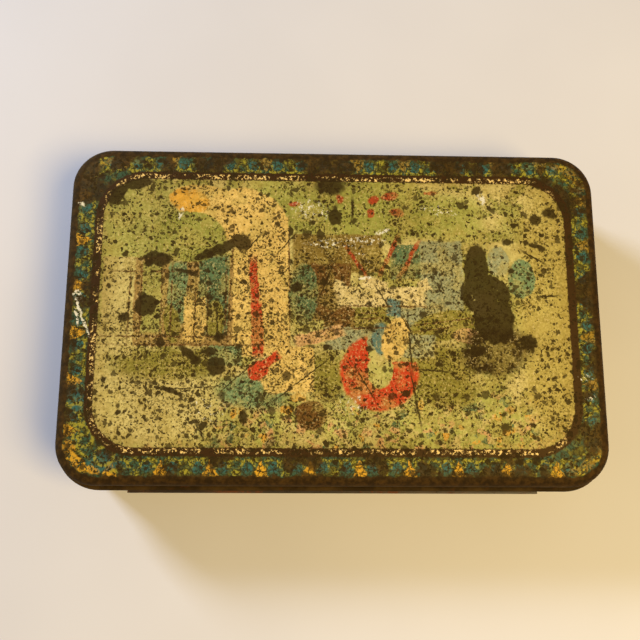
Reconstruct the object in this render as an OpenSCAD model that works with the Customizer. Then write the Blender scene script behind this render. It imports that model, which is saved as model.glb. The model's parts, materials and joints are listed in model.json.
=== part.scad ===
// Hinged tinplate box for art supplies, closed. A slip-over lid with a wired hem turns on
// two riveted straps at the back. Inside, a lift-out tray holds paint pans, a mixing
// palette and brushes. Millimetres, +Z up. The origin is on the table under the middle
// of the box, and the front is at -Y.

/* [Lid] */
// Width of the lid across its straight sides
lid_w = 240; // [236:1:260]
// Depth of the lid from front to back
lid_d = 152; // [150:1:168]
// Radius of the lid's corners, seen from above
corner_r = 18; // [17:0.5:20]
// Radius of the edge between the lid's top and its skirt
edge_r = 4.5; // [4.5:0.5:5.5]
// Height of the lid, from its top to the bottom of the hem
lid_h = 14; // [13:0.5:16]
// Outside radius of the hem that is curled round the wire
hem_r = 1.2; // [1.2:0.1:1.4]
// Length of the thumb lip under the front hem
lip_len = 180; // [120:5:190]
// How far the thumb lip stands out from the hem
lip_out = 1; // [0.6:0.1:1.5]

/* [Box] */
// Height of the closed box
box_h = 45; // [44:1:60]
// Thickness of the tinplate
sheet = 0.5; // [0.4:0.1:0.5]
// Room between the lid and the box at the sides and the back
side_gap = 0.5; // [0.5:0.1:0.8]
// Room between the lid and the box at the front, where the lid swings in a little
front_gap = 0.9; // [0.9:0.1:1.2]
// Height of the bottom panel above the table
panel_lift = 2; // [1.5:0.5:3]

/* [Hinge] */
// Distance of each hinge strap from the middle
strap_x = 72; // [50:1:80]
// Width of a hinge strap
strap_w = 24; // [20:1:30]
// Radial play of a strap's curl on the wire
hinge_play = 0.05; // [0.03:0.01:0.08]

/* [Tray] */
// Depth of the lift-out tray under the rim
tray_h = 15; // [14:0.5:18]
// Width of the brush trough along the front of the tray
trough_d = 30; // [28:1:32]
// Columns of paint pans
pan_columns = 4; // [3:1:4]
// Rows of paint pans
pan_rows = 3; // [2:1:3]
// Side of the square that each pan takes up
pan_pitch = 34.5; // [33:0.5:34.5]

/* [Brushes] */
// Lengths of the large and the small brush
brush_len = [196, 172];
// Largest handle radii of the two brushes
brush_r = [3.6, 2.8];

/* [Hidden] */
$fn = 48;
PANS = [for (k = [1:pan_columns * pan_rows]) str("pan_", k)];
CAKES = [for (k = [1:pan_columns * pan_rows]) str("cake_", k)];
BRUSH_PARTS = [
  for (k = [1:2], piece = ["handle", "ferrule", "hair"]) str("brush_", piece, "_", k)
];

// The hem, and the wire in it that the lid turns on
wire_r = hem_r - sheet;
hem_out = corner_r - sheet + hem_r;
hem_z = box_h - lid_h + hem_r;
axis_y = lid_d / 2 - sheet + hem_r;

// The box inside the lid. It stands a little back, to leave the front its larger gap.
body_w = lid_w - 2 * (sheet + side_gap);
body_d = lid_d - 2 * sheet - side_gap - front_gap;
body_y = (front_gap - side_gap) / 2;
body_r = corner_r - sheet - side_gap;
rim_top = box_h - sheet - 2.2;
rim_z = rim_top - hem_r;
seam_h = 3.2;
lap_w = 8;

// Pressed stops under the hem
pip_r = 2;
pip_sink = 0.6;
pip_fit = 0.3;

// Hinge straps and rivets
strap_t = 0.6;
strap_low = 16;
strap_corner = 4;
curl_r = wire_r + hinge_play + strap_t;
notch_play = 0.5;
notch_h = 2;
rivet_x = 6;
rivet_z = 20.5;
rivet_r = 1.2;
rivet_head_r = 2.3;
rivet_head_h = 0.7;
back_y = body_y + body_d / 2;

// The tray hangs by its flange on the rim of the box
flange_in = 1;
tray_in = 2 * hem_r + 0.4;
tray_edge = 3;
tray_w = body_w - 2 * tray_in;
tray_d = body_d - 2 * tray_in;
tray_r = body_r - tray_in;
tray_top = rim_top + sheet;
tray_floor = tray_top - tray_h + sheet;
tray_front = body_y - tray_d / 2 + sheet;
tray_back = body_y + tray_d / 2 - sheet;
tray_side = tray_w / 2 - sheet;
divider_h = 11;
divider_foot = 4;
divider_y = tray_front + trough_d;

// The rack that the pans hang in, and the palette beside it
rack_h = 9;
rack_play = 0.5;
rack_r = 6;
leg_trim = 8;
rack_left = -tray_side + tray_edge + rack_play;
rack_right = rack_left + pan_columns * pan_pitch + 4;
rack_front = divider_y + divider_foot + sheet + rack_play;
rack_back = tray_back - tray_edge - rack_play;
rack_z = tray_floor + rack_h;
rack_mid = [(rack_left + rack_right) / 2, (rack_front + rack_back) / 2];
row_pitch = min(pan_pitch, (rack_back - rack_front - 1) / pan_rows);
pan_gap = 4.5;
pan_w = pan_pitch - pan_gap;
pan_d = row_pitch - pan_gap;
pan_r = 4;
pan_rim = 1.2;
pan_h = 8;
pan_play = 0.3;
cake_drop = 2.2;
palette_left = rack_right + 1.5;
palette_right = tray_side - tray_edge - rack_play;
palette_mid = [(palette_left + palette_right) / 2, rack_mid[1]];
palette_d = rack_back - rack_front;
palette_r = 10;
well_r = 20;
well_deep = 6;

// Brushes lie in the trough on the belly of the handle and the ferrule
brush_y = [tray_front + 10, tray_front + 20.5];
brush_left = [-tray_side + 16, -tray_side + 30];
PIGMENTS = [
  "ivory", "gold", "orange", "firebrick", "crimson", "purple",
  "royalblue", "teal", "olivedrab", "darkgreen", "sienna", "black"
];

// ---------- shared shapes ----------

// Sweeps a profile round a rounded rectangle. The profile's X is the distance out from
// the centre of the corner arcs, and its Y is the height.
module sweep_round(w, d, r) {
  for (k = [0:3]) {
    out = (k % 2 == 0 ? w : d) / 2 - r;
    along = (k % 2 == 0 ? d : w) / 2 - r;
    rotate([0, 0, 90 * k]) translate([out, along, 0]) {
      rotate_extrude(angle = 90) children();
      rotate([90, 0, 0]) linear_extrude(2 * along) children();
    }
  }
}

// Fills the middle that a swept profile starts from
module middle_plate(w, d, r, z) {
  translate([r - w / 2, r - d / 2, z]) cube([w - 2 * r, d - 2 * r, sheet]);
}

module rounded_rect(w, d, r) {
  square([w - 2 * r, d], center = true);
  square([w, d - 2 * r], center = true);
  for (sx = [-1, 1], sy = [-1, 1])
    translate([sx * (w / 2 - r), sy * (d / 2 - r)]) circle(r);
}

module ring(outer, inner) {
  difference() {
    circle(outer);
    circle(inner);
  }
}

// A quarter of a bent sheet: the outside radius is r, and sx and sy pick the quarter
module bend(r, sx, sy) {
  intersection() {
    ring(r, r - sheet);
    translate([sx < 0 ? -r : 0, sy < 0 ? -r : 0]) square(r);
  }
}

// ---------- lid ----------

module lid_profile() {
  translate([0, box_h - sheet]) square([corner_r - edge_r, sheet]);
  translate([corner_r - edge_r, box_h - edge_r]) bend(edge_r, 1, 1);
  translate([corner_r - sheet, hem_z]) square([sheet, box_h - edge_r - hem_z]);
  translate([hem_out, hem_z]) ring(hem_r, wire_r);
}

// Where the hem and the foot of the skirt are cut away for one hinge strap
module hinge_notch() {
  notch_w = strap_w + 2 * notch_play;
  translate([-notch_w / 2, lid_d / 2 - 2 * sheet, hem_z - 2 * hem_r])
    cube([notch_w, 3 * hem_r + 2 * sheet, 2 * hem_r + notch_h]);
}

module lid_shell() {
  color("darkolivegreen") difference() {
    union() {
      sweep_round(lid_w, lid_d, corner_r) lid_profile();
      middle_plate(lid_w, lid_d, corner_r, box_h - sheet);
    }
    for (s = [-1, 1]) translate([s * strap_x, 0, 0]) hinge_notch();
  }
}

module lid_wire() {
  color("dimgray") sweep_round(lid_w, lid_d, corner_r)
    translate([hem_out, hem_z]) circle(wire_r);
}

// A folded strip that clasps the front hem from below
module thumb_lip() {
  color("saddlebrown") translate([lip_len / 2, -axis_y, hem_z])
    rotate([90, 0, -90]) linear_extrude(lip_len) {
      bend(hem_r + sheet, 1, -1);
      translate([hem_r, -sheet]) square([lip_out, sheet]);
    }
}

// ---------- box ----------

module body_profile() {
  translate([body_r - sheet, sheet]) square([sheet, rim_z - sheet]);
  translate([body_r - hem_r, rim_z]) ring(hem_r, wire_r);
}

// How far a stop has to sit under the hem to clear it, at a sideways distance away
function pip_drop(away) = sqrt(pow(pip_r + hem_r + pip_fit, 2) - pow(away, 2));

// Puts a stop on the front wall and on each side wall, facing out along +X
module at_stops() {
  front_away = side_gap + hem_r + pip_sink + front_gap - side_gap;
  side_away = side_gap + hem_r + pip_sink;
  for (s = [-1, 1]) {
    translate([s * lid_w / 4, body_y - body_d / 2, hem_z - pip_drop(front_away)])
      rotate([0, 0, -90]) children();
    translate([s * body_w / 2, body_y, hem_z - pip_drop(side_away)])
      rotate([0, 0, 90 - 90 * s]) children();
  }
}

// One pressed stop: the cap of a sphere that stands out of the wall
module pip() {
  rotate([0, 90, 0]) rotate_extrude() intersection() {
    translate([0, -pip_sink]) circle(pip_r);
    translate([0, -sheet / 2]) square(2 * pip_r);
  }
}

// Places rivets through both straps and the wall, outward along +Y
module at_rivets() {
  for (s = [-1, 1], t = [-1, 1])
    translate([s * strap_x + t * rivet_x, back_y, rivet_z]) rotate([-90, 0, 0]) children();
}

module rivet_hole() {
  translate([0, 0, -2 * sheet]) cylinder(r = rivet_r, h = 4 * sheet + strap_t);
}

module body_wall() {
  color("saddlebrown") difference() {
    union() {
      translate([0, body_y, 0]) sweep_round(body_w, body_d, body_r) body_profile();
      at_stops() pip();
      // the lap of the side seam, inside the back wall
      translate([-lap_w / 2, back_y - 2 * sheet, seam_h])
        cube([lap_w, sheet, rim_z - 2 * hem_r - seam_h]);
    }
    at_rivets() rivet_hole();
  }
}

// The panel is countersunk inside the wall and seamed round its lower edge
module bottom_profile() {
  translate([body_r - 2 * sheet, 0]) square([3 * sheet, sheet]);
  translate([body_r, 0]) square([sheet, seam_h]);
  translate([body_r - 2 * sheet, 0]) square([sheet, panel_lift + sheet]);
  translate([0, panel_lift]) square([body_r - sheet, sheet]);
}

module bottom_panel() {
  color("peru") translate([0, body_y, 0]) {
    sweep_round(body_w, body_d, body_r) bottom_profile();
    middle_plate(body_w, body_d, body_r, panel_lift);
  }
}

// ---------- hinge ----------

// Leaf of a strap seen from behind, with round lower corners
module strap_outline() {
  leaf_h = hem_z - strap_low;
  translate([-strap_w / 2, strap_corner]) square([strap_w, leaf_h - strap_corner]);
  translate([strap_corner - strap_w / 2, 0]) square([strap_w - 2 * strap_corner, leaf_h]);
  for (s = [-1, 1])
    translate([s * (strap_w / 2 - strap_corner), strap_corner]) circle(strap_corner);
}

module hinge_strap(side) {
  color("slategray") difference() {
    translate([side * strap_x, 0, 0]) {
      translate([0, back_y + strap_t, strap_low])
        rotate([90, 0, 0]) linear_extrude(strap_t) strap_outline();
      translate([-strap_w / 2, axis_y, hem_z])
        rotate([90, 0, 90]) linear_extrude(strap_w) ring(curl_r, wire_r + hinge_play);
    }
    at_rivets() rivet_hole();
  }
}

// A domed head outside, a shank through both sheets and a flat clinch inside
module rivet() {
  dome_r = (pow(rivet_head_r, 2) + pow(rivet_head_h, 2)) / (2 * rivet_head_h);
  translate([0, 0, -sheet]) cylinder(r = rivet_r, h = sheet + strap_t);
  translate([0, 0, -2 * sheet]) cylinder(r = rivet_head_r, h = sheet);
  translate([0, 0, strap_t]) intersection() {
    translate([0, 0, rivet_head_h - dome_r]) sphere(dome_r);
    cylinder(r = rivet_head_r, h = rivet_head_h);
  }
}

module hinge_rivets() {
  color("lightslategray") at_rivets() rivet();
}

// ---------- tray ----------

module tray_profile() {
  low = tray_floor - sheet;
  translate([0, low]) square([tray_r - tray_edge, sheet]);
  translate([tray_r - tray_edge, low + tray_edge]) bend(tray_edge, 1, -1);
  translate([tray_r - sheet, low + tray_edge]) square([sheet, tray_h - tray_edge]);
  translate([tray_r - sheet, rim_top]) square([tray_in - flange_in + sheet, sheet]);
}

module tray() {
  color("antiquewhite") translate([0, body_y, 0]) {
    sweep_round(tray_w, tray_d, tray_r) tray_profile();
    middle_plate(tray_w, tray_d, tray_r, tray_floor - sheet);
  }
}

// An angle strip that parts the brush trough from the paints
module trough_divider() {
  length = 2 * (tray_side - tray_edge);
  color("wheat") translate([-length / 2, divider_y, tray_floor]) {
    cube([length, sheet, divider_h]);
    cube([length, divider_foot + sheet, sheet]);
  }
}

module at_pans() {
  for (k = [0:pan_columns * pan_rows - 1]) at_pan(k) children();
}

// Pan 0 is at the back left, and the numbers run along the rows
module at_pan(k) {
  column = k % pan_columns;
  row = floor(k / pan_columns);
  translate([
    rack_mid[0] + (column - (pan_columns - 1) / 2) * pan_pitch,
    rack_mid[1] - (row - (pan_rows - 1) / 2) * row_pitch,
    rack_z
  ]) children();
}

// A plate with a hole for each pan, on two folded legs that stop short of its corners
module pan_rack() {
  rack_w = rack_right - rack_left;
  rack_d = rack_back - rack_front;
  color("ivory") difference() {
    union() {
      translate([rack_mid[0], rack_mid[1], rack_z - sheet])
        linear_extrude(sheet) rounded_rect(rack_w, rack_d, rack_r);
      for (y = [rack_front, rack_back - sheet])
        translate([rack_left + leg_trim, y, tray_floor])
          cube([rack_w - 2 * leg_trim, sheet, rack_h]);
    }
    at_pans() translate([0, 0, -2 * sheet]) linear_extrude(3 * sheet)
      rounded_rect(pan_w + 2 * pan_play, pan_d + 2 * pan_play, pan_r + pan_play);
  }
}

module mixing_palette() {
  w = palette_right - palette_left;
  rise = well_deep + 2 * sheet;
  well_pitch = palette_d / 2;
  color("white") translate([palette_mid[0], palette_mid[1], tray_floor]) difference() {
    linear_extrude(rise) rounded_rect(w, palette_d, palette_r);
    for (s = [-1, 1])
      translate([0, s * well_pitch / 2, rise - well_deep]) cylinder(r = well_r, h = rise);
  }
}

module pan_profile() {
  translate([0, -pan_h]) square([pan_r, sheet]);
  translate([pan_r - sheet, -pan_h]) square([sheet, pan_h + sheet]);
  translate([pan_r - sheet, 0]) square([pan_rim + sheet, sheet]);
}

module pan(k) {
  color("gainsboro") at_pan(k) {
    sweep_round(pan_w, pan_d, pan_r) pan_profile();
    middle_plate(pan_w, pan_d, pan_r, -pan_h);
  }
}

module cake(k) {
  color(PIGMENTS[k]) at_pan(k) translate([0, 0, sheet - pan_h])
    linear_extrude(pan_h - cake_drop)
      rounded_rect(pan_w - 2 * sheet, pan_d - 2 * sheet, pan_r - sheet);
}

// ---------- brushes ----------

// Half outlines along the brush, from the end of the handle: [distance, radius]
function ferrule_r(k) = 0.62 * brush_r[k];
function tuft_r(k) = 0.8 * ferrule_r(k);
function ferrule_start(k) = 0.72 * brush_len[k];
function ferrule_end(k) = 0.88 * brush_len[k];

module handle_outline(k) {
  polygon([
    [0, 0],
    [0.35 * brush_r[k], 0],
    [0.5 * brush_r[k], 0.02 * brush_len[k]],
    [0.62 * brush_r[k], 0.3 * brush_len[k]],
    [brush_r[k], 0.58 * brush_len[k]],
    [ferrule_r(k), ferrule_start(k)],
    [ferrule_r(k) - sheet, ferrule_start(k)],
    [ferrule_r(k) - sheet, ferrule_start(k) + 10],
    [0, ferrule_start(k) + 10]
  ]);
}

module ferrule_outline(k) {
  polygon([
    [ferrule_r(k) - sheet, ferrule_start(k)],
    [ferrule_r(k), ferrule_start(k)],
    [tuft_r(k) + sheet, ferrule_end(k)],
    [tuft_r(k), ferrule_end(k)],
    [ferrule_r(k) - sheet, ferrule_start(k) + 10]
  ]);
}

module hair_outline(k) {
  polygon([
    [0, ferrule_start(k) + 10],
    [ferrule_r(k) - sheet, ferrule_start(k) + 10],
    [tuft_r(k), ferrule_end(k)],
    [1.15 * tuft_r(k), ferrule_end(k) + 0.04 * brush_len[k]],
    [0.3, brush_len[k]],
    [0, brush_len[k]]
  ]);
}

// Lays a brush along the trough, tilted so that belly and ferrule both touch the floor
module lay_brush(k) {
  run = ferrule_end(k) - 0.58 * brush_len[k];
  tilt = asin((brush_r[k] - tuft_r(k) - sheet) / run);
  belly = 0.58 * brush_len[k];
  translate([brush_left[k] + belly, brush_y[k], tray_floor + brush_r[k]])
    rotate([0, 90 + tilt, 0]) translate([0, 0, -belly]) children();
}

module brush_handle(k) {
  color("indianred") lay_brush(k) rotate_extrude() handle_outline(k);
}

module brush_ferrule(k) {
  color("goldenrod") lay_brush(k) rotate_extrude() ferrule_outline(k);
}

module brush_hair(k) {
  color("tan") lay_brush(k) rotate_extrude() hair_outline(k);
}

// ---------- nodes ----------

lid_shell();
lid_wire();
thumb_lip();
body_wall();
bottom_panel();
hinge_strap(-1);  // hinge_strap_left
hinge_strap(1);  // hinge_strap_right
hinge_rivets();
tray();
trough_divider();
pan_rack();
mixing_palette();
for (k = [0:pan_columns * pan_rows - 1]) {
  pan(k);
  cake(k);
}
for (k = [0:1]) {
  brush_handle(k);
  brush_ferrule(k);
  brush_hair(k);
}
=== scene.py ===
"""Looks of an old printed tin paint box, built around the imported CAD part.

Lengths in the shaders and in the shape functions are millimetres in the part's own frame:
X to the right, Y to the back, Z up, with the lid's centre at X = Y = 0.
"""

import json
import math
import random

import bmesh
import bpy
from mathutils import Matrix, Vector, noise


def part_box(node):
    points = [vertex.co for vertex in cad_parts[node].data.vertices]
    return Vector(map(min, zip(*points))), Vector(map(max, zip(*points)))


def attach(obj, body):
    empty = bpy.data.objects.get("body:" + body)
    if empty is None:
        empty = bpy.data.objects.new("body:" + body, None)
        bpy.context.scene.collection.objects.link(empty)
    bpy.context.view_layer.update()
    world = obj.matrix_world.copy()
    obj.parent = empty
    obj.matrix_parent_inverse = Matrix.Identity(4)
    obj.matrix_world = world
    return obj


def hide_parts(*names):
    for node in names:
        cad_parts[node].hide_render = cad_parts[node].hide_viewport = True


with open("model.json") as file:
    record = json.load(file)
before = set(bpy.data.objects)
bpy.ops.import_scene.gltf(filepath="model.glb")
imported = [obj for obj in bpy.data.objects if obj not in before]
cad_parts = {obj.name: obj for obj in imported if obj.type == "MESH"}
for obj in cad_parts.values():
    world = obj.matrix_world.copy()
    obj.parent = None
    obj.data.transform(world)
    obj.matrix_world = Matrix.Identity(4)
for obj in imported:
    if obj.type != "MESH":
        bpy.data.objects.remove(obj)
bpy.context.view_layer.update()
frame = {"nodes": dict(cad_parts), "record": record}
MM = 0.001


# ---------- sizes taken from the frame ----------

def size_mm(node):
    """The lowest and highest corner of a CAD node, in millimetres."""
    low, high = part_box(node)
    return Vector(low) / MM, Vector(high) / MM


_, lid_high = size_mm("lid_shell")
wire_low, wire_high = size_mm("lid_wire")
SHEET = lid_high.x - wire_high.x
WIRE_R = (wire_high.z - wire_low.z) / 2
HEM_R = WIRE_R + SHEET
HEM_Z = (wire_high.z + wire_low.z) / 2
LID_TOP = lid_high.z
LID_HALF_W = lid_high.x - 2 * HEM_R + SHEET
LID_HALF_D = lid_high.y - 2 * HEM_R + SHEET
CORNER_R = 18.0
EDGE_R = 4.5


# ---------- colours ----------

def rgb(red, green, blue):
    """An sRGB colour of 0 to 255 as linear values with alpha."""
    def linear(value):
        value /= 255
        return value / 12.92 if value <= 0.04045 else ((value + 0.055) / 1.055) ** 2.4
    return (linear(red), linear(green), linear(blue), 1.0)


INK = {
    "ground": rgb(190, 196, 116),
    "leaf": rgb(164, 170, 90),
    "meadow": rgb(178, 180, 106),
    "cream": rgb(222, 212, 152),
    "straw": rgb(202, 190, 116),
    "bone": rgb(242, 228, 180),
    "sand": rgb(250, 220, 144),
    "orange": rgb(242, 190, 84),
    "tan": rgb(176, 148, 96),
    "red": rgb(214, 68, 42),
    "brick": rgb(180, 72, 44),
    "teal": rgb(96, 128, 100),
    "mint": rgb(126, 158, 124),
    "sky": rgb(168, 178, 152),
    "blue": rgb(104, 146, 158),
    "olive": rgb(140, 120, 60),
    "moss": rgb(150, 146, 70),
    "umber": rgb(116, 82, 42),
    "pink": rgb(230, 186, 144),
    "soot": rgb(52, 38, 8),
    "line": rgb(112, 80, 44),
    "white": rgb(236, 226, 196),
    "shade": rgb(46, 34, 6),
}
RUST = rgb(46, 30, 6)
BARE = rgb(78, 57, 27)
DARK_RIM = rgb(46, 32, 14)
FRAME_LINE = rgb(60, 38, 16)
OUTLINE = rgb(34, 34, 14)
BAND = rgb(58, 92, 80)
BAND_WORN = rgb(92, 92, 42)
BAND_BRIGHT = rgb(56, 110, 122)
BLOSSOM = rgb(224, 174, 54)
SCROLL = rgb(164, 160, 60)
GOLD = rgb(254, 226, 160)
VARNISH = (1.0, 0.89, 0.64, 1.0)


# ---------- shader building ----------

class Nodes:
    """Builds a node tree. Any value may be a number, a tuple or another node's output."""

    def __init__(self, tree):
        self.tree = tree

    def node(self, kind, inputs=None, out=0, **settings):
        made = self.tree.nodes.new(kind)
        for name, value in settings.items():
            setattr(made, name, value)
        for key, value in (inputs or {}).items():
            self.put(made.inputs[key], value)
        return made.outputs[out]

    def put(self, socket, value):
        if isinstance(value, bpy.types.NodeSocket):
            self.tree.links.new(value, socket)
        elif value is not None:
            socket.default_value = value

    def math(self, operation, a, b=None, clamp=False):
        return self.node("ShaderNodeMath", {0: a, 1: b}, operation=operation, use_clamp=clamp)

    def vec(self, operation, a, b=None):
        out = "Value" if operation in ("LENGTH", "DOT_PRODUCT", "DISTANCE") else "Vector"
        return self.node("ShaderNodeVectorMath", {0: a, 1: b}, out=out, operation=operation)

    def axis(self, vector, letter):
        return self.vec("DOT_PRODUCT", vector, tuple(float(letter == name) for name in "XYZ"))

    def join(self, x, y, z=0.0):
        return self.node("ShaderNodeCombineXYZ", {0: x, 1: y, 2: z})

    def ramp(self, value, low, high):
        """0 up to low, 1 from high on, smooth between. low may be above high."""
        return self.node(
            "ShaderNodeMapRange", {"Value": value, "From Min": low, "From Max": high},
            interpolation_type="SMOOTHSTEP",
        )

    def mix(self, factor, a, b, blend="MIX"):
        return self.node(
            "ShaderNodeMix", {0: factor, 6: a, 7: b}, out=2, data_type="RGBA", blend_type=blend
        )

    def either(self, *masks):
        joined = masks[0]
        for mask in masks[1:]:
            joined = self.math("MAXIMUM", joined, mask)
        return joined

    def both(self, a, b):
        return self.math("MULTIPLY", a, b)

    def without(self, a, b):
        return self.both(a, self.math("SUBTRACT", 1.0, b))


def mask_group(name):
    """A node group that gives 1 inside an ellipse or a rectangle."""
    tree = bpy.data.node_groups.new(name, "ShaderNodeTree")
    for socket in ("Point", "Along", "Over", "Home"):
        tree.interface.new_socket(socket, in_out="INPUT", socket_type="NodeSocketVector")
    for socket in ("Outer", "Inner"):
        tree.interface.new_socket(socket, in_out="INPUT", socket_type="NodeSocketFloat")
    tree.interface.new_socket("Mask", in_out="OUTPUT", socket_type="NodeSocketFloat")
    g = Nodes(tree)
    point, along, over, home, outer, inner, _ = g.node("NodeGroupInput").node.outputs
    turned = g.join(g.vec("DOT_PRODUCT", point, along), g.vec("DOT_PRODUCT", point, over))
    away = g.vec("SUBTRACT", turned, home)
    if name == "ellipse":
        far = g.vec("DOT_PRODUCT", away, away)
    else:
        away = g.vec("ABSOLUTE", away)
        far = g.either(g.axis(away, "X"), g.axis(away, "Y"))
    result = tree.nodes.new("NodeGroupOutput")
    g.put(result.inputs[0], g.ramp(far, outer, inner))
    return tree


ELLIPSE = mask_group("ellipse")
RECTANGLE = mask_group("rectangle")


class Shader(Nodes):
    """One material, with the place on the part in millimetres as point and flat."""

    def __init__(self, name, roughness=0.5, metallic=0.0, coat=0.0):
        self.material = bpy.data.materials.new(name)
        self.material.use_nodes = True
        super().__init__(self.material.node_tree)
        self.bsdf = next(n for n in self.tree.nodes if n.type == "BSDF_PRINCIPLED")
        self.bsdf.inputs["Roughness"].default_value = roughness
        self.bsdf.inputs["Metallic"].default_value = metallic
        self.bsdf.inputs["Coat Weight"].default_value = coat
        self.bsdf.inputs["Coat Roughness"].default_value = 0.25
        place = self.node("ShaderNodeTexCoord", out="Object")
        self.point = self.vec("MULTIPLY", place, (1 / MM,) * 3)
        self.flat = self.vec("MULTIPLY", self.point, (1, 1, 0))

    def set(self, name, value):
        self.put(self.bsdf.inputs[name], value)

    def noise(self, size, detail=3.0, rough=0.55, point=None, out=0, warp=0.0):
        """Noise with features of about that size in millimetres. Flat points get flat noise."""
        flat = point is self.flat
        return self.node(
            "ShaderNodeTexNoise",
            {"Vector": point or self.point, "Scale": 1 / size, "Detail": detail,
             "Roughness": rough, "Distortion": warp},
            out=out, noise_dimensions="2D" if flat else "3D",
        )

    def spots(self, cell, smallest, largest, share=1.0, point=None):
        """Round spots, one in each cell, with random radii. share is how many cells have one."""
        texture = self.node(
            "ShaderNodeTexVoronoi", {"Vector": point or self.point, "Scale": 1 / cell},
            voronoi_dimensions="2D" if point else "3D",
        )
        chance, size, depth = self.node(
            "ShaderNodeSeparateColor", {0: texture.node.outputs["Color"]}
        ).node.outputs
        low, high = smallest / cell, largest / cell
        squared = self.both(size, size)
        radius = self.math("ADD", self.math("MULTIPLY", squared, high - low), low)
        spot = self.ramp(self.math("SUBTRACT", texture, radius), 0.05, -0.05)
        spot = self.both(spot, self.math("ADD", self.math("MULTIPLY", depth, 0.2), 0.8))
        return self.both(spot, self.math("LESS_THAN", chance, share))

    def shifted(self, point, amount, size, detail=2.0):
        """point moved about by noise of that size, by up to about amount millimetres."""
        drift = self.noise(size, detail, 0.6, point=point, out="Color")
        parts = self.node("ShaderNodeSeparateColor", {0: drift}).node.outputs
        centred = self.vec("SUBTRACT", self.join(*parts), (0.5, 0.5, 0.5))
        return self.vec("ADD", point, self.vec("MULTIPLY", centred, (4 * amount,) * 3))

    def inside_of(self, shape, point, x, y, rx, ry, turn, soft):
        """1 inside a shape at (x, y) with half sizes rx and ry. soft is the edge's width."""
        cos, sin = math.cos(math.radians(turn)), math.sin(math.radians(turn))
        along, over = (cos / rx, sin / rx, 0), (-sin / ry, cos / ry, 0)
        home = (x * along[0] + y * along[1], x * over[0] + y * over[1], 0)
        given = {"Point": point, "Along": along, "Over": over, "Home": home,
                 "Outer": 1 + soft, "Inner": 1 - soft}
        return self.node("ShaderNodeGroup", given, node_tree=shape)

    def blob(self, point, x, y, rx, ry, turn=0.0, soft=None):
        """1 inside an ellipse."""
        soft = soft or min(0.5, 0.9 / min(rx, ry))
        return self.inside_of(ELLIPSE, point, x, y, rx, ry, turn, soft)

    def cloud(self, point, x, y, rx, ry, turn=0.0):
        """An ellipse that fades out."""
        return self.blob(point, x, y, rx, ry, turn, 0.6)

    def block(self, point, x, y, rx, ry, turn=0.0, soft=None):
        """1 inside a rectangle."""
        soft = soft or min(0.5, 0.4 / min(rx, ry))
        return self.inside_of(RECTANGLE, point, x, y, rx, ry, turn, soft)

    def hoop(self, point, x, y, radius, width):
        """1 on a thin ring."""
        away = self.vec("DISTANCE", point, (x, y, 0))
        off = self.math("ABSOLUTE", self.math("SUBTRACT", away, radius))
        return self.ramp(off, width, width * 0.45)

    def inside(self, point, half_w, half_d, radius):
        """Distance in from the outline of a rounded rectangle, negative outside it."""
        beyond = self.vec(
            "SUBTRACT", self.vec("ABSOLUTE", point), (half_w - radius, half_d - radius, 0)
        )
        out = self.vec("LENGTH", self.vec("MAXIMUM", beyond, (0, 0, 0)))
        deep = self.math("MAXIMUM", self.axis(beyond, "X"), self.axis(beyond, "Y"))
        away = self.math("ADD", out, self.math("MINIMUM", deep, 0.0))
        return self.math("SUBTRACT", radius, away)

    def bump(self, *layers):
        """Adds relief. Each layer is (height from 0 to 1, depth in millimetres)."""
        total = None
        for height, depth in layers:
            part = self.math("MULTIPLY", height, depth)
            total = part if total is None else self.math("ADD", total, part)
        normal = self.node("ShaderNodeBump", {"Height": total, "Distance": MM, "Strength": 1.0})
        self.set("Normal", normal)


# ---------- the printed lid ----------

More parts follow.
